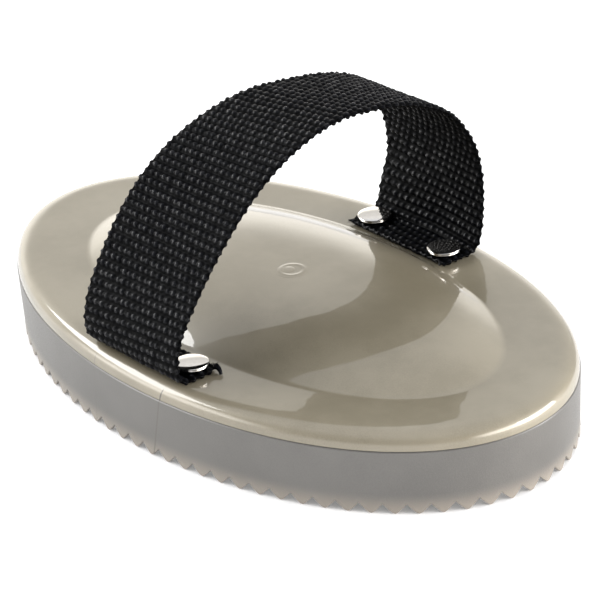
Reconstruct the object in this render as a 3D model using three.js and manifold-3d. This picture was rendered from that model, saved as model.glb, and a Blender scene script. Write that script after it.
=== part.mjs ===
// Oval plastic curry comb with a riveted webbing hand strap.
// Millimetres, +Z up. The comb stands on its tooth tips at z = 0, its long way is X,
// and the strap arches over the short way from the near side (-Y) to the far side (+Y).

import * as THREE from 'three';
import { mergeVertices } from 'three/addons/utils/BufferGeometryUtils.js';
import Module from 'manifold-3d';

const wasm = await Module();
wasm.setup();

// Touching pieces are kept this far apart.
const GAP = 0.15;

// Outline of the moulding: an oval, a little broader at its +X end.
const HALF_LENGTH = 93;
const HALF_WIDTH = 54.7;
const BROADENING = 0.042;

// Heights, from the tooth tips up.
const PARTING_HEIGHT = 17.8;
const FLANGE_HEIGHT = 22.4;
const DOME_HEIGHT = 30.2;
const PLATE_THICKNESS = 2.2;
const UNDER_FLANGE = FLANGE_HEIGHT - PLATE_THICKNESS;

// The rim rolls over from the flange into the side wall.
const ROLL_WIDTH = 6.8;
const ROLL_STEPS = 6;

// The raised dome is an oval lens. Its height falls with a power of the distance from its middle,
// given as a share of the way to its foot, and the last part of that way blends into the flange.
const MIDDLE_X = 1.6;
const DOME_HALF_LENGTH = 72.4;
const DOME_HALF_WIDTH = 38;
const DOME_RISE = DOME_HEIGHT - FLANGE_HEIGHT;
const DOME_POWER = 3.2;
const FOOT_BLEND = 0.04;
const DOME_RINGS = [0.2, 0.4, 0.56, 0.7, 0.8, 0.88, 0.94, 1 - FOOT_BLEND, 1 - FOOT_BLEND / 2, 1];

// The side wall and the two inner rings carry teeth along their lower edges.
const WALL_THICKNESS = 2.2;
const WALL_DRAFT = 0.5;
const TOOTH_DEPTH = 2.6;
const TOOTH_PITCH = 6.1;
const STEPS_PER_TOOTH = 4;
const INNER_WALL_DRAFT = 0.2;
const RING_THICKNESS = 2.4;
const MIDDLE_RING_SCALE = 0.8;
const INNER_RING_SCALE = 0.42;

// Two-part rivets, two at each end of the strap.
const RIVET_SPACING = 28;
const RIVET_Y = { near: -44.4, far: 42 };
const CAP_RADIUS = 4.5;
const CAP_HEIGHT = 1.5;
const CAP_RIM_RADIUS = 0.9;
const CAP_CROWN = 0.2;
const CAP_ARC_STEPS = 4;
const POST_RADIUS = 1.6;
const BASE_RADIUS = 4;
const BASE_HEIGHT = 1;
const EDGE_BREAK = 0.3;
const HOLE_CLEARANCE = 0.2;
const RIVET_SIDES = 20;

// The webbing strap, given by the middle of its thickness from foot to foot. It sits slightly askew,
// and its crown twists, so that one edge rides higher than the other.
const STRAP_WIDTH = 37.5;
const STRAP_THICKNESS = 1.7;
const STRAP_X = 0.8;
const STRAP_SKEW = -0.03;
const FLAP_BEYOND_RIVET = 4.6;
const CROWN_HEIGHT = 74.5;
const CROWN_TWIST = 1.75;
const CROWN_TWIST_PER_MM = 0.044;
const CROWN_TWIST_PER_MM2 = -0.0015;
const STRAP_STEPS = 56;
const STRAP_FLAT_Z = FLANGE_HEIGHT + GAP + STRAP_THICKNESS / 2;
const STRAP_ROUTE = [
  [RIVET_Y.near + FLAP_BEYOND_RIVET, STRAP_FLAT_Z],
  [RIVET_Y.near, STRAP_FLAT_Z],
  [-50.4, STRAP_FLAT_Z + 0.2],
  [-52.4, STRAP_FLAT_Z + 2.4],
  [-51.6, 34],
  [-43.7, 46.9],
  [-33.8, 58.1],
  [-22.2, 66.8],
  [-9.1, 72.3],
  [4.5, CROWN_HEIGHT],
  [18.1, 73],
  [31, 69.8],
  [42.4, 64],
  [49.9, 53.9],
  [52.3, 41.3],
  [50.2, STRAP_FLAT_Z + 2.6],
  [48, STRAP_FLAT_Z + 0.2],
  [RIVET_Y.far, STRAP_FLAT_Z],
  [RIVET_Y.far - FLAP_BEYOND_RIVET, STRAP_FLAT_Z],
];

const PLATE_STEPS = 88;
const LENGTH_SAMPLES = 1440;

const plastic = { color: 0xaea69a, roughness: 0.28, metalness: 0.15 };
const satinPlastic = { color: 0xa5a29c, roughness: 0.5, metalness: 0.1 };
const nickel = { color: 0xd8d6d2, roughness: 0.12, metalness: 1 };
const webbing = { color: 0x0d0e12, roughness: 0.85, metalness: 0 };

// ---- Outlines ----

function combOutline(angle) {
  const x = HALF_LENGTH * Math.cos(angle);
  const y = HALF_WIDTH * Math.sin(angle) * (1 + (BROADENING * x) / HALF_LENGTH);
  return new THREE.Vector2(x, y);
}

function domeOutline(angle, scale = 1) {
  const x = MIDDLE_X + DOME_HALF_LENGTH * scale * Math.cos(angle);
  return new THREE.Vector2(x, DOME_HALF_WIDTH * scale * Math.sin(angle));
}

// Points spaced evenly along an outline, each with its outward normal.
function evenPoints(outline, count) {
  const lengths = [0];
  let previous = outline(0);
  for (let i = 1; i <= LENGTH_SAMPLES; i += 1) {
    const next = outline((2 * Math.PI * i) / LENGTH_SAMPLES);
    lengths.push(lengths[i - 1] + next.distanceTo(previous));
    previous = next;
  }
  const points = [];
  let sample = 0;
  for (let j = 0; j < count; j += 1) {
    const target = (lengths[LENGTH_SAMPLES] * j) / count;
    while (lengths[sample + 1] <= target) sample += 1;
    const part = (target - lengths[sample]) / (lengths[sample + 1] - lengths[sample]);
    const angle = (2 * Math.PI * (sample + part)) / LENGTH_SAMPLES;
    const ahead = outline(angle + 0.001);
    const behind = outline(angle - 0.001);
    const normal = new THREE.Vector2(ahead.y - behind.y, behind.x - ahead.x).normalize();
    points.push({ point: outline(angle), normal });
  }
  return points;
}

function perimeter(outline, inset) {
  const points = insetRing(evenPoints(outline, LENGTH_SAMPLES), inset, 0);
  return points.reduce((sum, p, i) => sum + p.distanceTo(points[(i + 1) % points.length]), 0);
}

// ---- Rings and lofts ----

// The ring's height is a number, or a function of the step and the place.
function insetRing(points, inset, height) {
  return points.map(({ point, normal }, i) => {
    const x = point.x - normal.x * inset;
    const y = point.y - normal.y * inset;
    return new THREE.Vector3(x, y, typeof height === 'function' ? height(i, x, y) : height);
  });
}

function domeRing(share, height) {
  const ring = [];
  for (let i = 0; i < PLATE_STEPS; i += 1) {
    const { x, y } = domeOutline((2 * Math.PI * i) / PLATE_STEPS, share);
    ring.push(new THREE.Vector3(x, y, height));
  }
  return ring;
}

// A closed mesh through a list of rings. With poles the first and last rings close to a point,
// and without them the last ring joins the first, as on a hoop.
function loft(rings, topPole, bottomPole) {
  const count = rings[0].length;
  const positions = rings.flat().flatMap((p) => [p.x, p.y, p.z]);
  const indices = [];
  const last = topPole ? rings.length - 1 : rings.length;
  for (let i = 0; i < last; i += 1) {
    const here = i * count;
    const below = ((i + 1) % rings.length) * count;
    for (let j = 0; j < count; j += 1) {
      const k = (j + 1) % count;
      indices.push(here + j, below + j, below + k);
      indices.push(here + j, below + k, here + k);
    }
  }
  if (topPole) {
    const top = positions.length / 3;
    positions.push(...topPole.toArray(), ...bottomPole.toArray());
    const foot = (rings.length - 1) * count;
    for (let j = 0; j < count; j += 1) {
      const k = (j + 1) % count;
      indices.push(top, j, k);
      indices.push(top + 1, foot + k, foot + j);
    }
  }
  const geometry = new THREE.BufferGeometry();
  geometry.setAttribute('position', new THREE.Float32BufferAttribute(positions, 3));
  geometry.setIndex(indices);
  return geometry;
}

// ---- The dome's height ----

// Height of the dome over the flange at a share of the way from its middle to its foot.
function domeRise(share) {
  const start = 1 - FOOT_BLEND;
  const lens = (at) => DOME_RISE * (1 - (at / (1 - FOOT_BLEND / 2)) ** DOME_POWER);
  if (share <= start) return lens(share);
  return lens(start) * Math.max(0, (1 - share) / FOOT_BLEND) ** 2;
}

// Height of the plate's underside at a place.
function undersideHeight(x, y) {
  const share = Math.hypot((x - MIDDLE_X) / DOME_HALF_LENGTH, y / DOME_HALF_WIDTH);
  return UNDER_FLANGE + domeRise(share);
}

// ---- Booleans ----

function toSolid(geometry) {
  const bare = geometry.clone();
  bare.deleteAttribute('normal');
  bare.deleteAttribute('uv');
  const merged = mergeVertices(bare, 1e-4);
  return new wasm.Manifold(
    new wasm.Mesh({
      numProp: 3,
      vertProperties: new Float32Array(merged.attributes.position.array),
      triVerts: new Uint32Array(merged.index.array),
    }),
  );
}

function toGeometry(solid) {
  const mesh = solid.getMesh();
  const geometry = new THREE.BufferGeometry();
  geometry.setAttribute('position', new THREE.BufferAttribute(mesh.vertProperties, 3));
  geometry.setIndex(new THREE.BufferAttribute(mesh.triVerts, 1));
  return geometry;
}

// ---- Rivet places ----

const RIVETS = ['near', 'far'].flatMap((side) =>
  ['left', 'right'].map((end) => {
    const y = RIVET_Y[side];
    const halfSpacing = (end === 'left' ? -1 : 1) * (RIVET_SPACING / 2);
    return { label: `${side}_${end}`, x: STRAP_X + STRAP_SKEW * y + halfSpacing, y };
  }),
);

function holeCutter({ x, y }) {
  const depth = PLATE_THICKNESS + STRAP_THICKNESS + 2;
  const cutter = new THREE.CylinderGeometry(
    POST_RADIUS + HOLE_CLEARANCE,
    POST_RADIUS + HOLE_CLEARANCE,
    depth,
    RIVET_SIDES,
  );
  cutter.rotateX(Math.PI / 2);
  cutter.translate(x, y, UNDER_FLANGE - 1 + depth / 2);
  return toSolid(cutter);
}

function withRivetHoles(geometry, centres) {
  const drilled = centres.reduce((solid, centre) => solid.subtract(holeCutter(centre)), toSolid(geometry));
  return toGeometry(drilled);
}

// ---- Pieces ----

function backPlate() {
  const rim = evenPoints(combOutline, PLATE_STEPS);
  const rings = DOME_RINGS.map((share) => domeRing(share, FLANGE_HEIGHT + domeRise(share)));
  for (let i = 0; i <= ROLL_STEPS; i += 1) {
    const turn = (Math.PI / 2) * (i / ROLL_STEPS);
    const height = PARTING_HEIGHT + (FLANGE_HEIGHT - PARTING_HEIGHT) * Math.cos(turn);
    rings.push(insetRing(rim, ROLL_WIDTH * (1 - Math.sin(turn)), height));
  }
  const innerRoll = ROLL_WIDTH - WALL_THICKNESS;
  for (let i = ROLL_STEPS; i >= 0; i -= 2) {
    const turn = (Math.PI / 2) * (i / ROLL_STEPS);
    const height = PARTING_HEIGHT + (UNDER_FLANGE - PARTING_HEIGHT) * Math.cos(turn);
    rings.push(insetRing(rim, WALL_THICKNESS + innerRoll * (1 - Math.sin(turn)), height));
  }
  for (const share of [...DOME_RINGS].reverse()) {
    rings.push(domeRing(share, UNDER_FLANGE + domeRise(share)));
  }
  const top = new THREE.Vector3(MIDDLE_X, 0, DOME_HEIGHT);
  const bottom = new THREE.Vector3(MIDDLE_X, 0, DOME_HEIGHT - PLATE_THICKNESS);
  return withRivetHoles(loft(rings, top, bottom), RIVETS);
}

// Height of a toothed edge at one step: a short flat tip, a rising flank, the valley, a falling flank.
function toothHeight(step) {
  return step % STEPS_PER_TOOTH < STEPS_PER_TOOTH / 2 ? 0 : TOOTH_DEPTH;
}

// A hoop with a plain top edge and a toothed lower edge. Each ring function takes a height and the
// share of the way down, for the draft.
function toothedHoop(outerRing, innerRing, topHeight) {
  return loft([
    outerRing(topHeight, 0),
    outerRing(toothHeight, 1),
    innerRing(toothHeight, 1),
    innerRing(topHeight, 0),
  ]);
}

function outerToothWall() {
  const teeth = Math.round(perimeter(combOutline, WALL_DRAFT) / TOOTH_PITCH);
  const points = evenPoints(combOutline, teeth * STEPS_PER_TOOTH);
  return toothedHoop(
    (height, down) => insetRing(points, GAP + WALL_DRAFT * down, height),
    (height, down) => insetRing(points, WALL_THICKNESS - INNER_WALL_DRAFT * down, height),
    PARTING_HEIGHT - GAP,
  );
}

// An inner ring is a smaller copy of the dome's outline, and its top follows the plate's underside.
function innerToothRing(scale) {
  const outline = (angle) => domeOutline(angle, scale);
  const teeth = Math.round(perimeter(outline, 0) / TOOTH_PITCH);
  const points = evenPoints(outline, teeth * STEPS_PER_TOOTH);
  return toothedHoop(
    (height, down) => insetRing(points, INNER_WALL_DRAFT * down, height),
    (height, down) => insetRing(points, RING_THICKNESS - INNER_WALL_DRAFT * down, height),
    (step, x, y) => undersideHeight(x, y) - 2 * GAP,
  );
}

// How much higher the strap's +X edge rides at the crown.
function crownTwist(y) {
  return CROWN_TWIST + CROWN_TWIST_PER_MM * y + CROWN_TWIST_PER_MM2 * y ** 2;
}

// The strap is an outline in the YZ plane, as wide as the webbing, then skewed and twisted.
function handStrap() {
  const route = new THREE.CatmullRomCurve3(
    STRAP_ROUTE.map(([y, z]) => new THREE.Vector3(y, z, 0)),
    false,
    'centripetal',
  );
  const outside = [];
  const inside = [];
  for (let i = 0; i <= STRAP_STEPS; i += 1) {
    const p = route.getPointAt(i / STRAP_STEPS);
    const along = route.getTangentAt(i / STRAP_STEPS);
    const half = STRAP_THICKNESS / 2;
    outside.push(new THREE.Vector2(p.x - along.y * half, p.y + along.x * half));
    inside.push(new THREE.Vector2(p.x + along.y * half, p.y - along.x * half));
  }
  const section = new THREE.Shape([...inside, ...outside.reverse()]);
  const geometry = new THREE.ExtrudeGeometry(section, { depth: STRAP_WIDTH, bevelEnabled: false, steps: 1 });
  const position = geometry.attributes.position;
  for (let i = 0; i < position.count; i += 1) {
    const y = position.getX(i);
    const z = position.getY(i);
    const across = position.getZ(i) - STRAP_WIDTH / 2;
    const lift = THREE.MathUtils.smoothstep(z, DOME_HEIGHT, CROWN_HEIGHT);
    const twist = crownTwist(y) * (across / (STRAP_WIDTH / 2));
    position.setXYZ(i, STRAP_X + STRAP_SKEW * y + across, y, z + lift * twist);
  }
  return withRivetHoles(geometry, RIVETS);
}

function revolve(profile) {
  const geometry = new THREE.LatheGeometry(
    profile.map(([radius, height]) => new THREE.Vector2(radius, height)),
    RIVET_SIDES,
  );
  geometry.rotateX(Math.PI / 2);
  return geometry;
}

// A low cap with a rounded rim.
function rivetCap() {
  const shoulder = CAP_HEIGHT - CAP_CROWN - CAP_RIM_RADIUS;
  const profile = [[0, 0], [CAP_RADIUS - EDGE_BREAK, 0]];
  for (let i = 0; i <= CAP_ARC_STEPS; i += 1) {
    const turn = (Math.PI / 2) * (i / CAP_ARC_STEPS);
    profile.push([
      CAP_RADIUS - CAP_RIM_RADIUS + CAP_RIM_RADIUS * Math.cos(turn),
      shoulder + CAP_RIM_RADIUS * Math.sin(turn),
    ]);
  }
  profile.push([0, CAP_HEIGHT]);
  return revolve(profile);
}

// The base under the plate, with its post up through the plate and the webbing.
function rivetPost() {
  const top = STRAP_FLAT_Z + STRAP_THICKNESS / 2;
  const bottom = UNDER_FLANGE - GAP - BASE_HEIGHT;
  return revolve([
    [0, bottom],
    [BASE_RADIUS - EDGE_BREAK, bottom],
    [BASE_RADIUS, bottom + EDGE_BREAK],
    [BASE_RADIUS, bottom + BASE_HEIGHT],
    [POST_RADIUS, bottom + BASE_HEIGHT],
    [POST_RADIUS, top],
    [0, top],
  ]);
}

// ---- Assembly ----

function named(name, geometry, look, x = 0, y = 0, z = 0) {
  const mesh = new THREE.Mesh(geometry, new THREE.MeshStandardMaterial(look));
  mesh.name = name;
  mesh.position.set(x, y, z);
  return mesh;
}

const group = new THREE.Group();
group.add(named('back_plate', backPlate(), plastic));
group.add(named('outer_tooth_wall', outerToothWall(), satinPlastic));
group.add(named('middle_tooth_ring', innerToothRing(MIDDLE_RING_SCALE), satinPlastic));
group.add(named('inner_tooth_ring', innerToothRing(INNER_RING_SCALE), satinPlastic));
group.add(named('hand_strap', handStrap(), webbing));

const capBottom = STRAP_FLAT_Z + STRAP_THICKNESS / 2 + GAP;
for (const { label, x, y } of RIVETS) {
  group.add(named(`rivet_cap_${label}`, rivetCap(), nickel, x, y, capBottom));
  group.add(named(`rivet_post_${label}`, rivetPost(), nickel, x, y, 0));
}

export default group;
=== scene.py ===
"""Oval plastic curry comb with a riveted webbing hand strap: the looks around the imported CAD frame.

Lengths are in millimetres in the shape functions and become metres when a mesh is made.
"""

import math

import bmesh
import bpy
import numpy as np
from mathutils import Matrix, Vector


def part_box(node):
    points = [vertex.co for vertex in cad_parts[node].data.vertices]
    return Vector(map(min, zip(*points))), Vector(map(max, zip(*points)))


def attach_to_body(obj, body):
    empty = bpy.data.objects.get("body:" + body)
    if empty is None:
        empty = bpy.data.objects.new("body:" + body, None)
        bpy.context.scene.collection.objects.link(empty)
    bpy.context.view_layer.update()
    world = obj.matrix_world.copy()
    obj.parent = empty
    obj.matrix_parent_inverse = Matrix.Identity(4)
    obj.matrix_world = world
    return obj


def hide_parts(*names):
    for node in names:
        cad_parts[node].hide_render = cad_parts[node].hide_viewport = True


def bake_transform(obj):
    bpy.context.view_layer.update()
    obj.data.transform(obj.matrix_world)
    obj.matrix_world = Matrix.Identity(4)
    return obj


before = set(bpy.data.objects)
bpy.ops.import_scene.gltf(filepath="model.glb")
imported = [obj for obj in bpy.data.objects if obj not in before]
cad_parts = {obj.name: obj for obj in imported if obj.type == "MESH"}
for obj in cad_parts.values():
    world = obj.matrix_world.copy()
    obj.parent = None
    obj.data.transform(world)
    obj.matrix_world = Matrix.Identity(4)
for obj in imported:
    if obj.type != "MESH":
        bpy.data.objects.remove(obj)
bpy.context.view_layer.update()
random = np.random.default_rng(7)

MM = 0.001

# Outline of the moulding, and the heights of its parts, as in the CAD.
HALF_LENGTH = 93
HALF_WIDTH = 54.7
BROADENING = 0.042
PARTING_HEIGHT = 17.8
FLANGE_HEIGHT = 22.4
DOME_HEIGHT = 30.2
PLATE_THICKNESS = 2.2
UNDER_FLANGE = FLANGE_HEIGHT - PLATE_THICKNESS
ROLL_WIDTH = 6.8
ROLL_POWER = 2.9
ROLL_STEPS = 16
UNDER_ROLL_STEPS = 5
PLATE_STEPS = 420

# The raised dome is an oval lens. Its height falls with a power of the share of the way to its foot,
# and the last part of that way blends into the flange.
MIDDLE_X = 1.6
DOME_HALF_LENGTH = 72.4
DOME_HALF_WIDTH = 38
DOME_RISE = DOME_HEIGHT - FLANGE_HEIGHT
DOME_POWER = 3.2
FOOT_BLEND = 0.04
LENS_RINGS = 34
FOOT_RINGS = 6

# The gate mark on the crown: a low ring round a shallow dish, with the stub of the gate in it.
GATE_X = 2.6
GATE_RING_RADIUS = 3.1
GATE_RING_WIDTH = 0.6
GATE_RING_HEIGHT = 0.12
GATE_STUB = (-0.9, -0.7)
GATE_STUB_RADIUS = 1.3
GATE_STUB_HEIGHT = 0.16
GATE_EDGE = 4.4
GATE_FLOAT = 0.02
GATE_SUNK = 0.3

# The toothed wall and the two inner rings.
WALL_THICKNESS = 2.2
WALL_DRAFT = 0.5
WALL_PROUD = 0.2
SEAM = 0.16
TOOTH_DEPTH = 2.6
TOOTH_PITCH = 6.1
TIP_ROUNDING = 0.22
TIP_PHASE = 0.125
TIP_BEVEL = 0.7
TOOTH_STEPS = 16
INNER_WALL_DRAFT = 0.2
RING_THICKNESS = 2.4
MIDDLE_RING_SCALE = 0.8
INNER_RING_SCALE = 0.42
RING_TOP_GAP = 0.05

# Rivets.
CAP_RADIUS = 4.5
CAP_HEIGHT = 1.5
POST_RADIUS = 1.6
BASE_RADIUS = 4
BASE_HEIGHT = 1
RIVET_SIDES = 64

# The strap's route by the middle of its thickness, as (y, z), and how it skews and twists. The eleven points
# of the arch, from (-51.6, 34) to (52.3, 41.3), are the rounded result of a fitting script, not dimensions.
STRAP_WIDTH = 37.5
STRAP_THICKNESS = 1.7
STRAP_X = 0.8
STRAP_SKEW = -0.03
CROWN_HEIGHT = 74.5
CROWN_TWIST = 1.75
CROWN_TWIST_PER_MM = 0.044
CROWN_TWIST_PER_MM2 = -0.0015
FLAT_Z = 23.4
STRAP_ROUTE = [
    (-39.8, FLAT_Z), (-44.4, FLAT_Z), (-50.4, FLAT_Z + 0.2), (-52.4, FLAT_Z + 2.4),
    (-51.6, 34), (-43.7, 46.9), (-33.8, 58.1), (-22.2, 66.8), (-9.1, 72.3),
    (4.5, CROWN_HEIGHT), (18.1, 73), (31, 69.8), (42.4, 64), (49.9, 53.9), (52.3, 41.3),
    (50.2, FLAT_Z + 2.6), (48, FLAT_Z + 0.2), (42, FLAT_Z), (37.4, FLAT_Z),
]

# The weave: warp yarns float over every second pick, so each row of floats is staggered by half, and
# the weft shows as lower bumps between the floats. No two floats are quite alike.
FLOATS_ACROSS = 18
FLOAT_PITCH = STRAP_WIDTH / FLOATS_ACROSS
ROW_PITCH = 2.38
FLOAT_HALF_WIDTH = 0.86
FLOAT_HALF_LENGTH = 0.9
FLOAT_SLANT = 0.2
FLOAT_SHIFT = 0.09
FLOAT_DROP = 0.3
FLOAT_ROLL = 0.16
WEFT_HALF_WIDTH = 0.55
WEFT_HALF_LENGTH = 0.6
WEFT_SHARE = 0.5
WEAVE_DEPTH = 0.8
YARN_PROUD = 0.15
ROW_TILT = 0.065
EDGE_PROUD = 0.3
SCALLOP = 0.25
EDGE_ROUNDING = 0.7
STEPS_PER_FLOAT = 6
STEPS_PER_ROW = 5
UNEVEN = random.uniform(-1, 1, (3, 89, 23))

# The far leg's left edge rises closer to the rivets than its right edge does.
FAR_FOOT_LEAN = 2.5

# The cut ends: how far the weave straightens, how ragged the cut is, and the near corner's lift.
END_FADE = 14
CUT_RAGGED = 0.22
CORNER_LIFT = 1.3
FRAYS_AT_CORNER = 14


# ---- Outlines ----

def comb_outline(angle):
    x = HALF_LENGTH * np.cos(angle)
    y = HALF_WIDTH * np.sin(angle) * (1 + BROADENING * np.cos(angle))
    return np.stack([x, y], -1)


def dome_outline(angle):
    return np.stack([MIDDLE_X + DOME_HALF_LENGTH * np.cos(angle), DOME_HALF_WIDTH * np.sin(angle)], -1)


def even_points(outline, count, samples=1440):
    """Points evenly spaced along a closed outline, and their outward normals."""
    angles = np.linspace(0, 2 * math.pi, samples + 1)
    ring = outline(angles)
    lengths = np.r_[0, np.cumsum(np.linalg.norm(np.diff(ring, axis=0), axis=1))]
    at = np.interp(np.arange(count) / count * lengths[-1], lengths, angles)
    step = outline(at + 0.001) - outline(at - 0.001)
    normals = np.stack([step[:, 1], -step[:, 0]], -1)
    return outline(at), normals / np.linalg.norm(normals, axis=1)[:, None]


def perimeter(outline, inset):
    points, normals = even_points(outline, 1440)
    ring = points - normals * inset
    return np.linalg.norm(ring - np.roll(ring, -1, axis=0), axis=1).sum()


def inset_ring(points, inset, height):
    """A ring inside an outline. height is one number, one number a point, or a function of x and y."""
    at, normals = points
    place = at - normals * inset
    heights = height(place[:, 0], place[:, 1]) if callable(height) else height
    return np.c_[place, np.broadcast_to(heights, len(at))]


# ---- The dome ----

def dome_rise(share):
    """Height of the dome over the flange at a share of the way from its middle to its foot."""
    start = 1 - FOOT_BLEND
    lens = DOME_RISE * (1 - (np.minimum(share, start) / (1 - FOOT_BLEND / 2)) ** DOME_POWER)
    return lens * np.clip((1 - share) / FOOT_BLEND, 0, 1) ** 2


def dome_share(x, y):
    return np.hypot((x - MIDDLE_X) / DOME_HALF_LENGTH, y / DOME_HALF_WIDTH)


def underside(x, y):
    return UNDER_FLANGE + dome_rise(dome_share(x, y))


def dome_ring(foot, share, base):
    x = MIDDLE_X + (foot[:, 0] - MIDDLE_X) * share
    return np.c_[x, foot[:, 1] * share, np.full(len(foot), base + dome_rise(share))]


# ---- Mesh making ----

def new_object(name, vertices, faces, material, smooth_angle=40):
    mesh = bpy.data.meshes.new(name)
    mesh.from_pydata((np.asarray(vertices) * MM).tolist(), [], faces)
    mesh.update()
    obj = bpy.data.objects.new(name, mesh)
    bpy.context.scene.collection.objects.link(obj)
    mesh.materials.append(material)
    for polygon in mesh.polygons:
        polygon.use_smooth = True
    with bpy.context.temp_override(active_object=obj, object=obj, selected_objects=[obj],
                                   selected_editable_objects=[obj]):
        bpy.ops.object.shade_smooth_by_angle(angle=math.radians(smooth_angle))
    return obj


def loft_faces(rings, count, closed):
    """Quads between rings of count points. Closed joins the last ring to the first, as on a hoop."""
    faces = []
    for i in range(rings if closed else rings - 1):
        here, below = i * count, (i + 1) % rings * count
        for j in range(count):
            k = (j + 1) % count
            faces.append((here + j, below + j, below + k, here + k))
    return faces


def lofted(name, rings, material, poles=None, smooth_angle=40):
    count = len(rings[0])
    vertices = np.concatenate(rings)
    faces = loft_faces(len(rings), count, poles is None)
    if poles is not None:
        top = len(vertices)
        vertices = np.r_[vertices, poles]
        foot = (len(rings) - 1) * count
        faces += [(top, j, (j + 1) % count) for j in range(count)]
        faces += [(top + 1, foot + (j + 1) % count, foot + j) for j in range(count)]
    return new_object(name, vertices, faces, material, smooth_angle)


def revolved(name, profile, centre, material, smooth_angle=35):
    """A closed turned piece from a profile of (radius, height) that starts and ends on the axis."""
    angles = np.arange(RIVET_SIDES) / RIVET_SIDES * 2 * math.pi
    rings = [
        np.c_[centre[0] + r * np.cos(angles), centre[1] + r * np.sin(angles), np.full(RIVET_SIDES, z)]
        for r, z in profile[1:-1]
    ]
    poles = np.array([(centre[0], centre[1], z) for z in (profile[0][1], profile[-1][1])])
    return lofted(name, rings, material, poles, smooth_angle)


# ---- The moulding ----

def gate_relief(x, y):
    """Extra height of the gate mark at crown points."""
    distance = np.hypot(x - GATE_X, y)
    ring = np.exp(-(((distance - GATE_RING_RADIUS) / GATE_RING_WIDTH) ** 2)) * GATE_RING_HEIGHT
    from_stub = np.hypot(x - GATE_X - GATE_STUB[0], y - GATE_STUB[1]) / GATE_STUB_RADIUS
    return ring + GATE_STUB_HEIGHT * np.clip(1.4 - from_stub, 0, 1) ** 0.5


def plate_rings():
    rim = even_points(comb_outline, PLATE_STEPS)
    foot = even_points(dome_outline, PLATE_STEPS)[0]
    start = 1 - FOOT_BLEND
    lens_shares = np.arange(1, LENS_RINGS + 1) / LENS_RINGS * start
    foot_shares = np.linspace(start, 1, FOOT_RINGS + 1)[1:]
    shares = np.r_[lens_shares, foot_shares]
    rings = [dome_ring(foot, share, FLANGE_HEIGHT) for share in shares]
    for turn in np.linspace(0, math.pi / 2, ROLL_STEPS + 1):
        over, down = math.sin(turn) ** (2 / ROLL_POWER), max(math.cos(turn), 0) ** (2 / ROLL_POWER)
        height = PARTING_HEIGHT + (FLANGE_HEIGHT - PARTING_HEIGHT) * down
        rings.append(inset_ring(rim, ROLL_WIDTH * (1 - over), height))
    for turn in np.linspace(math.pi / 2, 0, UNDER_ROLL_STEPS + 1):
        height = PARTING_HEIGHT + (UNDER_FLANGE - PARTING_HEIGHT) * math.cos(turn)
        inset = WALL_THICKNESS + (ROLL_WIDTH - WALL_THICKNESS) * (1 - math.sin(turn))
        rings.append(inset_ring(rim, inset, height))
    rings += [dome_ring(foot, share, UNDER_FLANGE) for share in shares[::-1]]
    return rings


def moulded_plate(material):
    poles = np.array([(MIDDLE_X, 0, DOME_HEIGHT), (MIDDLE_X, 0, DOME_HEIGHT - PLATE_THICKNESS)])
    return lofted("moulded_plate", plate_rings(), material, poles, 60)


def gate_mark(material):
    """The mark left on the crown where the plastic was injected."""
    angles = np.arange(RIVET_SIDES) / RIVET_SIDES * 2 * math.pi

    def crown(radius):
        x, y = GATE_X + radius * np.cos(angles), radius * np.sin(angles)
        height = FLANGE_HEIGHT + dome_rise(dome_share(x, y)) + GATE_FLOAT + gate_relief(x, y)
        return np.c_[x, y, height]

    rings = [crown(radius) for radius in np.linspace(0, GATE_EDGE, 45)[1:]]
    rings.append(rings[-1] - (0, 0, GATE_SUNK))
    top = crown(0)[0]
    return lofted("gate_mark", rings, material, np.array([top, top - (0, 0, GATE_SUNK)]), 80)


def tooth_height(phase):
    """Height of a toothed edge: rounded tips at whole phases, sharp valleys half way between."""
    away = 2 * np.abs(phase - np.round(phase))
    rounded = (np.hypot(away, TIP_ROUNDING) - TIP_ROUNDING) / (math.hypot(1, TIP_ROUNDING) - TIP_ROUNDING)
    return TOOTH_DEPTH * rounded


def toothed_hoop(name, outline, teeth, outer, inner, top, material):
    """A hoop with rounded teeth along its lower edge.

    outer and inner are (inset at the top, inset at the foot), and top gives the height at a place.
    """
    count = teeth * TOOTH_STEPS
    foot = tooth_height(np.arange(count) / TOOTH_STEPS - TIP_PHASE)
    points = even_points(outline, count)
    root = TOOTH_DEPTH + 0.4
    rings = [inset_ring(points, outer[0] + 0.2, top)]
    for share in (0, 0.25, 0.5, 0.75, 1):
        inset = outer[0] + (outer[1] - outer[0]) * share
        rings.append(inset_ring(points, inset, lambda x, y: root + (top(x, y) - 0.25 - root) * (1 - share)))
    rings.append(inset_ring(points, outer[1], foot + 0.18))
    rings.append(inset_ring(points, outer[1] + 0.18, foot))
    rings.append(inset_ring(points, inner[1] - TIP_BEVEL, foot))
    rings.append(inset_ring(points, inner[1], foot + 0.9))
    rings.append(inset_ring(points, inner[1] + (inner[0] - inner[1]) * 0.2, np.maximum(foot + 0.95, root)))
    rings.append(inset_ring(points, inner[0], top))
    return lofted(name, rings, material, None, 30)


def tooth_wall(material):
    teeth = round(perimeter(comb_outline, WALL_DRAFT) / TOOTH_PITCH)
    outer = (-WALL_PROUD, WALL_DRAFT)
    inner = (WALL_THICKNESS, WALL_THICKNESS - INNER_WALL_DRAFT)

    def top(x, y):
        return np.full(len(x), PARTING_HEIGHT - SEAM)

    return toothed_hoop("tooth_wall", comb_outline, teeth, outer, inner, top, material)


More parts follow.
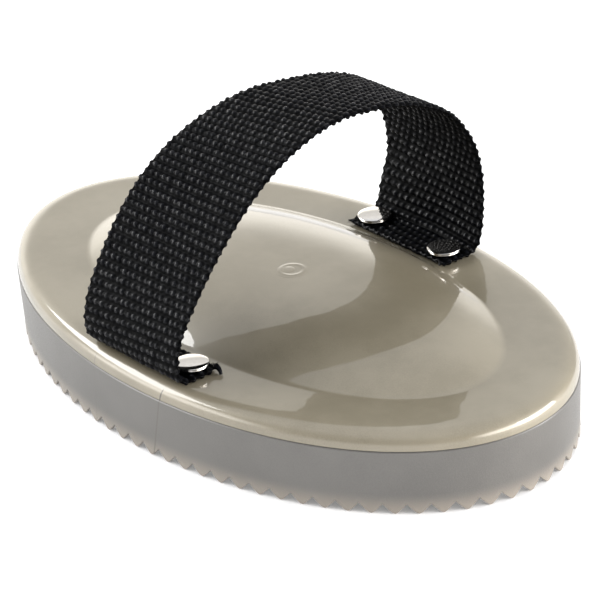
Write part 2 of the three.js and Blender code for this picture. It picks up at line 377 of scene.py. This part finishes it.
def inner_hoop(name, scale, material):
    """An inner ring is a smaller copy of the dome's outline, and its top follows the plate's underside."""

    def outline(angle):
        return np.stack([
            MIDDLE_X + DOME_HALF_LENGTH * scale * np.cos(angle),
            DOME_HALF_WIDTH * scale * np.sin(angle),
        ], -1)

    def top(x, y):
        return underside(x, y) - RING_TOP_GAP

    teeth = round(perimeter(outline, 0) / TOOTH_PITCH)
    inner = (RING_THICKNESS, RING_THICKNESS - INNER_WALL_DRAFT)
    return toothed_hoop(name, outline, teeth, (0.0, INNER_WALL_DRAFT), inner, top, material)


# ---- The strap ----

def catmull_rom(points, steps=60):
    """A centripetal Catmull-Rom curve through the points, as the CAD draws the strap's route."""
    p = np.array(points, float)
    p = np.r_[[2 * p[0] - p[1]], p, [2 * p[-1] - p[-2]]]
    t = np.linspace(0, 1, steps, endpoint=False)[:, None]
    curve = []
    for a, b, c, d in zip(p, p[1:], p[2:], p[3:]):
        da, db, dc = (math.sqrt(np.linalg.norm(v)) for v in (b - a, c - b, d - c))
        start = ((b - a) / da - (c - a) / (da + db) + (c - b) / db) * db
        end = ((c - b) / db - (d - b) / (db + dc) + (d - c) / dc) * db
        curve.append(
            b + start * t + (3 * (c - b) - 2 * start - end) * t**2 + (2 * (b - c) + start + end) * t**3
        )
    return np.r_[np.concatenate(curve), [p[-2]]]


def smoothstep(value, low, high):
    t = np.clip((value - low) / (high - low), 0, 1)
    return t * t * (3 - 2 * t)


STRAP_CURVE = catmull_rom(STRAP_ROUTE)
STRAP_LENGTHS = np.r_[0, np.cumsum(np.linalg.norm(np.diff(STRAP_CURVE, axis=0), axis=1))]
STRAP_LENGTH = STRAP_LENGTHS[-1]


def route_point(along):
    """The (y, z) of the strap's middle surface at a length along it."""
    return np.stack([np.interp(along, STRAP_LENGTHS, STRAP_CURVE[:, axis]) for axis in (0, 1)])


def strap_point(along, across, offset):
    """Where a point of the strap is: along its length, across its width, and out from its middle surface."""
    y, z = route_point(along)
    by_the_foot = smoothstep(y, 44, 49.5) * (1 - smoothstep(z, 29, 41))
    lean = FAR_FOOT_LEAN * by_the_foot * smoothstep(-across, -6, STRAP_WIDTH / 2)
    dy, dz = route_point(along + 0.8) - route_point(along - 0.8)
    size = np.hypot(dy, dz)
    y = y - lean - dz / size * offset
    z = z + dy / size * offset
    twist = CROWN_TWIST + CROWN_TWIST_PER_MM * y + CROWN_TWIST_PER_MM2 * y**2
    z = z + smoothstep(z, DOME_HEIGHT, CROWN_HEIGHT) * twist * across / (STRAP_WIDTH / 2)
    x = STRAP_X + STRAP_SKEW * y + across
    return np.stack([x, y, z + corner_lift(along, x, y)], -1)


def corner_lift(along, x, y):
    """The near flap's right corner has come up off the plate, clear of the rivet's cap."""
    rivet_x, rivet_y = RIVETS["near_right"]
    clear = smoothstep(np.hypot(x - rivet_x, y - rivet_y), CAP_RADIUS + 0.3, CAP_RADIUS + 2.6)
    return CORNER_LIFT * clear * smoothstep(x, rivet_x, rivet_x + 4) * (1 - smoothstep(along, 2, 8))


def bump(beside, over):
    """The height of a rounded yarn, from 0 to 1, at shares of the way beside and over its middle."""
    return np.sqrt(np.clip(1 - np.hypot(beside, over) ** 3, 0, 1))


def yarn_height(along, across):
    """From 0 in the crevices to 1 on the crest of a float, each row staggered by half a float."""
    row = along / ROW_PITCH
    height = np.zeros(np.shape(row))
    for step in (-1, 0, 1):
        pick = np.round(row) + step
        over = (row - pick) * ROW_PITCH
        column = across / FLOAT_PITCH + pick / 2 + FLOAT_SLANT * (row - pick)
        warp = np.round(column)
        shift, drop, roll = UNEVEN[:, pick.astype(int) % 89, warp.astype(int) % 23]
        beside = (column - warp + FLOAT_SHIFT * shift) * FLOAT_PITCH / FLOAT_HALF_WIDTH
        tall = 1 - FLOAT_DROP * np.abs(drop) + FLOAT_ROLL * roll * np.clip(beside, -1, 1)
        height = np.maximum(height, tall * bump(beside, over / FLOAT_HALF_LENGTH))
        beside = (column - np.floor(column) - 0.5) * FLOAT_PITCH / WEFT_HALF_WIDTH
        height = np.maximum(height, WEFT_SHARE * bump(beside, over / WEFT_HALF_LENGTH))
    return height


def strap_grid():
    """The grid of the weave: its rows lean a little across the strap, and straighten towards the cut ends."""
    rows = round(STRAP_LENGTH / ROW_PITCH)
    woven = np.arange(rows * STEPS_PER_ROW + 1) / STEPS_PER_ROW * ROW_PITCH
    side = np.linspace(-1, 1, FLOATS_ACROSS * STEPS_PER_FLOAT + 1)
    woven, side = np.meshgrid(woven, side, indexing="ij")
    along = woven * STRAP_LENGTH / woven.max()
    to_end = np.minimum(along, STRAP_LENGTH - along)
    lean = ROW_TILT * side * STRAP_WIDTH / 2 * smoothstep(to_end, 0, END_FADE)
    ragged = CUT_RAGGED * (np.sin(side * 31) + 0.7 * np.sin(side * 83 + 1)) * (1 - smoothstep(to_end, 0, 2.5))
    along = np.clip(along + lean + np.where(along < STRAP_LENGTH / 2, ragged, -ragged), -1, STRAP_LENGTH + 1)
    half_width = STRAP_WIDTH / 2 + EDGE_PROUD + SCALLOP * np.cos(2 * math.pi * woven / ROW_PITCH)
    return woven, side, along, side * half_width


def webbing_strap(material):
    woven, side, along, across = strap_grid()
    to_edge = np.clip((1 - np.abs(side)) * STRAP_WIDTH / 2 / EDGE_ROUNDING, 0, 1)
    to_end = np.clip(0.35 + np.minimum(woven, woven.max() - woven) / 1.5, 0, 1)
    body = np.sqrt(to_edge * (2 - to_edge)) * np.sqrt(to_end)
    layers, heights = [], []
    for sign in (1, -1):
        shift = 0 if sign > 0 else FLOAT_PITCH / 2
        height = yarn_height(woven, side * STRAP_WIDTH / 2 + shift)
        outside = (STRAP_THICKNESS / 2 + YARN_PROUD) * body - WEAVE_DEPTH * (1 - height) * (0.3 + 0.7 * body)
        layers.append(strap_point(along, across, sign * outside))
        heights.append(height)
    loop = np.concatenate([layers[0], layers[1][:, ::-1]], axis=1)
    steps, count = loop.shape[:2]
    faces = []
    for i in range(steps - 1):
        here, below = i * count, (i + 1) * count
        for j in range(count):
            k = (j + 1) % count
            faces.append((here + j, here + k, below + k, below + j))
    last = (steps - 1) * count
    for j in range(count // 2 - 1):
        a, b, c, d = j, j + 1, count - 2 - j, count - 1 - j
        faces.append((a, d, c, b))
        faces.append((last + a, last + b, last + c, last + d))
    strap = new_object("webbing_strap", loop.reshape(-1, 3), faces, material, 180)
    heights = np.concatenate([heights[0], heights[1][:, ::-1]], axis=1)
    place = np.stack([np.concatenate([a, a[:, ::-1]], axis=1) * MM for a in (across, along, along * 0)], -1)
    add_attributes(strap, heights, place)
    return strap


def add_attributes(piece, heights, place):
    """The yarn's height, and the place on the flat webbing in metres, for the webbing's material."""
    layer = piece.data.attributes.new("yarn_height", "FLOAT", "POINT")
    layer.data.foreach_set("value", np.asarray(heights, np.float32).ravel())
    layer = piece.data.attributes.new("strap_place", "FLOAT_VECTOR", "POINT")
    layer.data.foreach_set("vector", np.asarray(place, np.float32).ravel())


# ---- Loose yarn at the cut ends ----

def tube(points, radii, sides=6):
    """Vertices and faces of a closed tube along points, through the radii."""
    points = np.asarray(points, float)
    ahead = np.gradient(points, axis=0)
    side = np.cross(ahead, (0.31, 0.22, 1.0))
    side /= np.linalg.norm(side, axis=1)[:, None]
    over = np.cross(side, ahead)
    over /= np.linalg.norm(over, axis=1)[:, None]
    angles = np.arange(sides) / sides * 2 * math.pi
    ring = side[:, None] * np.cos(angles)[None, :, None] + over[:, None] * np.sin(angles)[None, :, None]
    vertices = (points[:, None] + ring * np.reshape(radii, (-1, 1, 1))).reshape(-1, 3)
    faces = loft_faces(len(points), sides, False)
    foot = (len(points) - 1) * sides
    faces.append(tuple(range(sides)))
    faces.append(tuple(range(foot + sides - 1, foot - 1, -1)))
    return vertices, faces


def fray(start, reach, rise):
    """One filament that leaves the cut at start, reaches out and curls."""
    t = np.linspace(0, 1, 7)[:, None]
    bend = random.normal(0, 0.25, 3)
    return np.asarray(start) + t * np.asarray(reach) + t**2 * bend + (t * (1 - t) * 4) * (0, 0, rise)


def frayed_ends(material):
    """The melted tail that curls off the near flap's lifted corner, and fine filaments round the corners."""
    corner = strap_point(np.array(0.4), np.array(STRAP_WIDTH / 2 - 0.9), np.array(0.0))
    t = np.linspace(0, 1, 12)
    tail = corner + np.stack([3.0 * t, 0.7 * t - 1.0 * t**2, 0.25 * np.sin(2.4 * t) - 1.2 * t**3], -1)
    parts = [tube(tail, np.interp(t, (0, 0.5, 1), (0.8, 0.66, 0.42)), 8)]
    corners = (
        (0.3, STRAP_WIDTH / 2 - 1.2, (0.9, 1.3)),
        (STRAP_LENGTH - 0.3, -STRAP_WIDTH / 2 + 1.2, (-1.1, -1.0)),
        (STRAP_LENGTH - 0.3, STRAP_WIDTH / 2 - 1.2, (1.0, -0.9)),
    )
    for along, across, out in corners:
        for _ in range(FRAYS_AT_CORNER):
            u = across + random.uniform(-2.2, 0.9) * np.sign(across)
            start = strap_point(np.array(along), np.array(u), np.array(random.uniform(-0.3, 0.5)))
            reach = (*(np.array(out) * random.uniform(0.3, 1.0)), random.uniform(-0.2, 0.4))
            parts.append(tube(fray(start, reach, random.uniform(0, 0.5)), np.linspace(0.09, 0.05, 7), 5))
    vertices, faces = [], []
    for part_vertices, part_faces in parts:
        base = sum(len(v) for v in vertices)
        vertices.append(part_vertices)
        faces += [tuple(base + i for i in face) for face in part_faces]
    vertices = np.concatenate(vertices)
    piece = new_object("frayed_ends", vertices, faces, material, 60)
    turn_outward(piece.data)
    add_attributes(piece, np.full(len(vertices), 0.7), vertices * MM)
    return piece


def turn_outward(mesh):
    bm = bmesh.new()
    bm.from_mesh(mesh)
    bmesh.ops.recalc_face_normals(bm, faces=bm.faces)
    bm.to_mesh(mesh)
    bm.free()


# ---- Rivets ----

def rivet_places():
    """Each rivet's centre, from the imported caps."""
    places = {}
    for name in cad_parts:
        if name.startswith("rivet_cap_"):
            low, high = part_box(name)
            places[name.removeprefix("rivet_cap_")] = ((low.x + high.x) / 2 / MM, (low.y + high.y) / 2 / MM)
    return places


RIVETS = rivet_places()


def cap_profile(bottom):
    """A low crowned disc over a rolled rim with a groove between, from its top down and closed underneath."""
    profile = []
    for radius in (0, 1.2, 2.2, 3.1, 3.8):
        profile.append((radius, bottom + CAP_HEIGHT - 0.42 * (radius / CAP_RADIUS) ** 2))
    for turn in np.linspace(math.radians(75), math.radians(-80), 8):
        profile.append((CAP_RADIUS - 0.22 + 0.22 * math.cos(turn), bottom + 0.86 + 0.2 * math.sin(turn)))
    for turn in np.linspace(math.radians(70), math.radians(-60), 7):
        profile.append((CAP_RADIUS - 0.5 + 0.3 * math.cos(turn), bottom + 0.3 + 0.28 * math.sin(turn)))
    profile += [(3.6, bottom), (0, bottom)]
    return profile


def post_profile(bottom, top):
    base = bottom + BASE_HEIGHT
    profile = [(0, top), (POST_RADIUS, top), (POST_RADIUS, base)]
    profile += [(BASE_RADIUS - 0.2, base), (BASE_RADIUS, base - 0.2)]
    for turn in np.linspace(0, math.pi / 2, 6):
        profile.append((BASE_RADIUS - 0.4 + 0.4 * math.cos(turn), bottom + 0.4 - 0.4 * math.sin(turn)))
    profile += [(1.1, bottom), (0.7, bottom + 0.35), (0, bottom + 0.4)]
    return profile


# ---- Materials ----

class Nodes:
    """A small helper that adds nodes to a tree and links them."""

    def __init__(self, tree, shader):
        self.tree = tree
        self.shader = tree.nodes[shader]

    def add(self, kind, inputs=None, **settings):
        node = self.tree.nodes.new(kind)
        for key, value in settings.items():
            setattr(node, key, value)
        for key, value in (inputs or {}).items():
            self.put(node, key, value)
        return node

    def put(self, node, key, value):
        if isinstance(value, bpy.types.NodeSocket):
            self.tree.links.new(value, node.inputs[key])
        else:
            node.inputs[key].default_value = value

    def set(self, **values):
        for key, value in values.items():
            self.put(self.shader, key.replace("_", " "), value)

    def math(self, operation, a, b=0.0, c=0.0):
        return self.add("ShaderNodeMath", {0: a, 1: b, 2: c}, operation=operation).outputs[0]

    def vector(self, operation, a, b):
        return self.add("ShaderNodeVectorMath", {0: a, 1: b}, operation=operation).outputs[0]

    def dot(self, a, b):
        return self.add("ShaderNodeVectorMath", {0: a, 1: b}, operation="DOT_PRODUCT").outputs["Value"]

    def noise(self, vector, scale, detail=3.0, roughness=0.5):
        inputs = {"Vector": vector, "Scale": scale, "Detail": detail, "Roughness": roughness}
        return self.add("ShaderNodeTexNoise", inputs).outputs["Fac"]

    def ramp(self, value, low, high, start, end):
        inputs = {"Value": value, 1: low, 2: high, 3: start, 4: end}
        return self.add("ShaderNodeMapRange", inputs, interpolation_type="SMOOTHSTEP").outputs[0]

    def blend(self, a, b, share):
        """a and b added, with b taken for this share."""
        return self.math("ADD", self.math("MULTIPLY", a, 1 - share), self.math("MULTIPLY", b, share))

    def mix(self, share, a, b):
        node = self.add("ShaderNodeMix", data_type="RGBA")
        for key, value in ((0, share), (6, a), (7, b)):
            self.put(node, key, value)
        return node.outputs[2]

    def bump(self, height, strength, distance, normal=None):
        inputs = {"Height": height, "Strength": strength, "Distance": distance}
        if normal is not None:
            inputs["Normal"] = normal
        return self.add("ShaderNodeBump", inputs).outputs["Normal"]

    def place(self):
        return self.add("ShaderNodeTexCoord").outputs["Object"]

    def split(self, vector):
        node = self.add("ShaderNodeSeparateXYZ", {"Vector": vector})
        return node.outputs["X"], node.outputs["Y"], node.outputs["Z"]


def material_nodes(name):
    material = bpy.data.materials.new(name)
    material.use_nodes = True
    return material, Nodes(material.node_tree, "Principled BSDF")


PEARL_LIGHT = (0.238, 0.210, 0.150, 1)
PEARL_DARK = (0.194, 0.169, 0.116, 1)
WELD_BROWN = (0.075, 0.065, 0.05, 1)
SATIN_LIGHT = (0.114, 0.108, 0.098, 1)
SATIN_DARK = (0.088, 0.083, 0.075, 1)
# Painted light: beige for light shining through the thin tooth tips.
TIP_GLOW_BEIGE = (0.27, 0.235, 0.195, 1)
# The webbing's colours: painted shade in the crevices between the yarns, and the yarn's own tone on the
# crests.
YARN_CREVICE_SHADE = (0.0006, 0.0006, 0.0008, 1)
YARN_CREST_TONE = (0.0022, 0.0026, 0.0044, 1)
NICKEL = (0.76, 0.735, 0.70, 1)
NICKEL_DULL = (0.73, 0.70, 0.665, 1)

# The two weld lines down the near side, as (x at the foot, lean, strength), in metres.
WELD_LINES = ((0.0101, 0.27, 1.0), (-0.0146, 0.12, 0.35))
WELD_HALF_WIDTH = 0.00022


def weld_lines(n, x, y, z):
    """From 0 to 1 across the fine lines where the plastic's flows met."""
    total = None
    for foot, lean, strength in WELD_LINES:
        middle = n.math("MULTIPLY_ADD", z, lean, foot)
        away = n.math("ABSOLUTE", n.math("SUBTRACT", x, middle))
        line = n.ramp(away, WELD_HALF_WIDTH * 0.2, WELD_HALF_WIDTH * 1.8, strength, 0.0)
        total = line if total is None else n.math("MAXIMUM", total, line)
    return n.math("MULTIPLY", total, n.math("LESS_THAN", y, -0.045))


def pearl_plastic():
    """Glossy champagne plastic: fine pearl under a clear skin, with faint flow marks and weld lines."""
    material, n = material_nodes("pearl_plastic_gloss")
    place = n.place()
    x, y, z = n.split(place)
    flow = n.noise(place, 38.0, 4.0, 0.6)
    pearl = n.noise(place, 2600.0, 2.0)
    shade = n.ramp(n.blend(flow, pearl, 0.25), 0.38, 0.62, 0.0, 1.0)
    on_rim = n.ramp(z, 0.0204, 0.0212, 1.0, 0.0)
    weld = n.math("MULTIPLY", weld_lines(n, x, y, z), on_rim)
    n.set(Base_Color=n.mix(weld, n.mix(shade, PEARL_DARK, PEARL_LIGHT), WELD_BROWN))
    n.set(Metallic=0.15, Roughness=n.ramp(pearl, 0.3, 0.7, 0.38, 0.48), IOR=1.5)
    n.set(Coat_Weight=1.0, Coat_Roughness=0.03, Coat_IOR=1.55)
    ripple = n.bump(n.noise(place, 55.0, 2.0), 0.16, 0.0008)
    groove = n.bump(weld, -0.6, 0.0001, ripple)
    n.set(Normal=n.bump(pearl, 0.05, 0.0002, groove), Coat_Normal=groove)
    return material


def satin_plastic():
    """The etched wall: silver grey with a pearl fleck, and painted light: beige towards the foot where the
    thin tips let light through.
    """
    material, n = material_nodes("satin_plastic_etched")
    place = n.place()
    x, y, z = n.split(place)
    fleck = n.noise(place, 3000.0, 2.0)
    cloud = n.noise(place, 45.0, 3.0)
    shade = n.ramp(n.blend(cloud, fleck, 0.4), 0.35, 0.65, 0.0, 1.0)
    # Painted light: the colour turns beige towards the foot, for light shining through the thin tips.
    tip_glow = n.ramp(z, 0.0, 0.0058, 0.9, 0.0)
    body = n.mix(tip_glow, n.mix(shade, SATIN_DARK, SATIN_LIGHT), TIP_GLOW_BEIGE)
    weld = weld_lines(n, x, y, z)
    n.set(Base_Color=n.mix(n.math("MULTIPLY", weld, 0.75), body, WELD_BROWN))
    n.set(Metallic=0.1, Roughness=n.ramp(fleck, 0.3, 0.7, 0.33, 0.43), IOR=1.5, Specular_IOR_Level=1.0)
    n.set(Normal=n.bump(fleck, 0.12, 0.0003, n.bump(weld, -0.5, 0.0001)))
    return material


def webbing():
    """Black nylon, with painted shade: the crevices darker than the crests, and a sheen on the yarns' crests
    with fine filaments along them.
    """
    material, n = material_nodes("black_nylon_webbing")
    height = n.add("ShaderNodeAttribute", attribute_name="yarn_height").outputs["Fac"]
    place = n.add("ShaderNodeAttribute", attribute_name="strap_place").outputs["Vector"]
    stretch = n.add("ShaderNodeMapping", {"Vector": place, "Scale": (8000.0, 1100.0, 1.0)})
    stretched = stretch.outputs["Vector"]
    filament = n.noise(stretched, 1.0, 2.0)
    patch = n.noise(place, 420.0, 2.0)
    crest = n.ramp(height, 0.2, 0.95, 0.06, 0.9)
    shine = n.math("MULTIPLY", n.ramp(patch, 0.35, 0.65, 0.3, 1.0), n.ramp(filament, 0.35, 0.65, 0.4, 0.9))
    # Painted shade: the base colour goes from the crest tone down to near black in the crevices.
    n.set(Base_Color=n.mix(crest, YARN_CREVICE_SHADE, YARN_CREST_TONE), Roughness=0.7, Specular_IOR_Level=0.03)
    n.set(Coat_Weight=n.math("MULTIPLY", crest, shine), Coat_Roughness=0.24, Coat_IOR=1.45)
    n.set(Normal=n.bump(filament, 0.6, 0.00002))
    return material


def nickel():
    """Bright plated steel with a faint haze and hair scratches."""
    material, n = material_nodes("bright_nickel_plate")
    place = n.place()
    haze = n.noise(place, 900.0, 4.0)
    stretch = n.add("ShaderNodeMapping", {"Vector": place, "Scale": (300.0, 5200.0, 800.0)})
    long_way = stretch.outputs["Vector"]
    scratch = n.noise(long_way, 1.0, 2.0)
    n.set(Base_Color=n.mix(n.ramp(haze, 0.35, 0.65, 0.0, 1.0), NICKEL, NICKEL_DULL))
    n.set(Metallic=1.0, Roughness=n.ramp(haze, 0.3, 0.7, 0.06, 0.09))
    n.set(Normal=n.bump(scratch, 0.015, 0.00005))
    return material


# ---- The stage ----

CAMERA_AZIMUTH = math.radians(52.241)
CAMERA_ELEVATION = math.radians(27.693)
CAMERA_DISTANCE = 1.410
CAMERA_LENS = 325.4
CAMERA_PAN = 0.00222
CAMERA_TILT = 0.01285
CAMERA_ROLL = -0.0684


def toward(azimuth, elevation):
    """The direction from the comb to a camera or a light, by its azimuth and elevation in radians."""
    across = math.cos(elevation)
    return Vector((math.sin(azimuth) * across, -math.cos(azimuth) * across, math.sin(elevation)))


def add_camera():
    away = toward(CAMERA_AZIMUTH, CAMERA_ELEVATION)
    right = Vector((math.cos(CAMERA_AZIMUTH), math.sin(CAMERA_AZIMUTH), 0))
    up = right.cross(-away)
    forward = (-away + CAMERA_PAN * right + CAMERA_TILT * up).normalized()
    right = forward.cross(up).normalized()
    up = right.cross(forward)
    rolled_right = math.cos(CAMERA_ROLL) * right + math.sin(CAMERA_ROLL) * up
    rolled_up = math.cos(CAMERA_ROLL) * up - math.sin(CAMERA_ROLL) * right
    data = bpy.data.cameras.new("camera")
    data.sensor_width = 36
    data.lens = CAMERA_LENS
    data.clip_end = 50
    camera = bpy.data.objects.new("camera", data)
    turn = Matrix((rolled_right, rolled_up, -forward)).transposed().to_4x4()
    camera.matrix_world = Matrix.Translation(away * CAMERA_DISTANCE) @ turn
    bpy.context.scene.collection.objects.link(camera)
    bpy.context.scene.camera = camera


# Area lights: azimuth and elevation as toward counts them, distance, width, height and radiance.
AREA_LIGHTS = {
    "left_softbox": (298, 36, 1.3, 1.0, 0.46, 8.5),
    "right_softbox": (136, 16, 1.3, 0.9, 0.5, 12.0),
}

# Soft light from the studio's walls and ceiling: azimuth, elevation, half width and half height in
# degrees, and radiance in red, green and blue.
SKY_COLOUR = (0.40, 0.405, 0.415)
SKY_LIGHTS = {
    "back": (232, 26, 44, 24, (0.36, 0.34, 0.30)),
    "horizon": (248, 5, 36, 15, (1.6, 1.52, 1.36)),
    "left": (322, 8, 26, 18, (5.0, 4.9, 4.7)),
    "right": (112, 8, 28, 18, (9.0, 8.5, 8.0)),
    "ceiling": (200, 84, 50, 50, (0.52, 0.54, 0.58)),
}


def add_lights():
    for name, (azimuth, elevation, distance, width, height, radiance) in AREA_LIGHTS.items():
        away = toward(math.radians(azimuth), math.radians(elevation))
        data = bpy.data.lights.new(name, "AREA")
        data.shape = "RECTANGLE"
        data.size, data.size_y = width, height
        data.energy = radiance * math.pi * width * height
        light = bpy.data.objects.new(name, data)
        light.location = away * distance
        light.rotation_mode = "QUATERNION"
        light.rotation_quaternion = away.to_track_quat("Z", "Y")
        bpy.context.scene.collection.objects.link(light)


def sky_light(n, direction, azimuth, elevation, half_width, half_height, radiance):
    """The radiance that one soft light adds to the sky in this direction."""
    azimuth, elevation = math.radians(azimuth), math.radians(elevation)
    away = toward(azimuth, elevation)
    right = Vector((math.cos(azimuth), math.sin(azimuth), 0))
    up = right.cross(-away)
    across = n.dot(direction, right / math.sin(math.radians(half_width)))
    over = n.dot(direction, up / math.sin(math.radians(half_height)))
    off = n.math("SQRT", n.math("ADD", n.math("POWER", across, 2.0), n.math("POWER", over, 2.0)))
    in_front = n.math("GREATER_THAN", n.dot(direction, away), 0.0)
    share = n.math("MULTIPLY", n.ramp(off, 0.55, 1.35, 1.0, 0.0), in_front)
    return n.add("ShaderNodeVectorMath", {0: radiance, "Scale": share}, operation="SCALE").outputs[0]


def add_world():
    world = bpy.data.worlds.new("studio")
    world.use_nodes = True
    n = Nodes(world.node_tree, "Background")
    direction = n.add("ShaderNodeTexCoord").outputs["Generated"]
    colour = SKY_COLOUR
    for light in SKY_LIGHTS.values():
        colour = n.vector("ADD", colour, sky_light(n, direction, *light))
    n.set(Color=colour, Strength=1.0)
    bpy.context.scene.world = world
    bpy.context.scene.view_settings.view_transform = "Standard"


def add_floor():
    material, n = material_nodes("pale_floor")
    n.set(Base_Color=(0.85, 0.85, 0.85, 1), Roughness=0.9, Specular_IOR_Level=0.2)
    n.set(Emission_Color=(1.0, 1.0, 1.0, 1), Emission_Strength=0.2)
    mesh = bpy.data.meshes.new("floor")
    corners = [(-12, -12, 0), (12, -12, 0), (12, 12, 0), (-12, 12, 0)]
    mesh.from_pydata(corners, [], [(0, 1, 2, 3)])
    mesh.materials.append(material)
    floor = bpy.data.objects.new("floor", mesh)
    bpy.context.scene.collection.objects.link(floor)


# ---- Assembly ----

def attach(piece, slot, *nodes):
    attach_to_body(piece, "comb")
    if nodes:
        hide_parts(*nodes)


def build():
    pearl, satin, black, bright = pearl_plastic(), satin_plastic(), webbing(), nickel()
    attach(moulded_plate(pearl), "pearl_plastic", "back_plate")
    attach(gate_mark(pearl), "pearl_plastic")
    attach(tooth_wall(satin), "satin_plastic", "outer_tooth_wall")
    attach(inner_hoop("middle_ring", MIDDLE_RING_SCALE, satin), "satin_plastic", "middle_tooth_ring")
    attach(inner_hoop("inner_ring", INNER_RING_SCALE, satin), "satin_plastic", "inner_tooth_ring")
    for label, centre in RIVETS.items():
        low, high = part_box(f"rivet_cap_{label}")
        cap = revolved(f"cap_{label}", cap_profile(low.z / MM), centre, bright)
        attach(cap, "nickel", f"rivet_cap_{label}")
        low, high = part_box(f"rivet_post_{label}")
        post = revolved(f"post_{label}", post_profile(low.z / MM, high.z / MM), centre, bright)
        attach(post, "nickel", f"rivet_post_{label}")
    attach(frayed_ends(black), "webbing")
    strap = webbing_strap(black)
    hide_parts("hand_strap")
    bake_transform(strap)


add_camera()
add_lights()
add_world()
add_floor()
build()
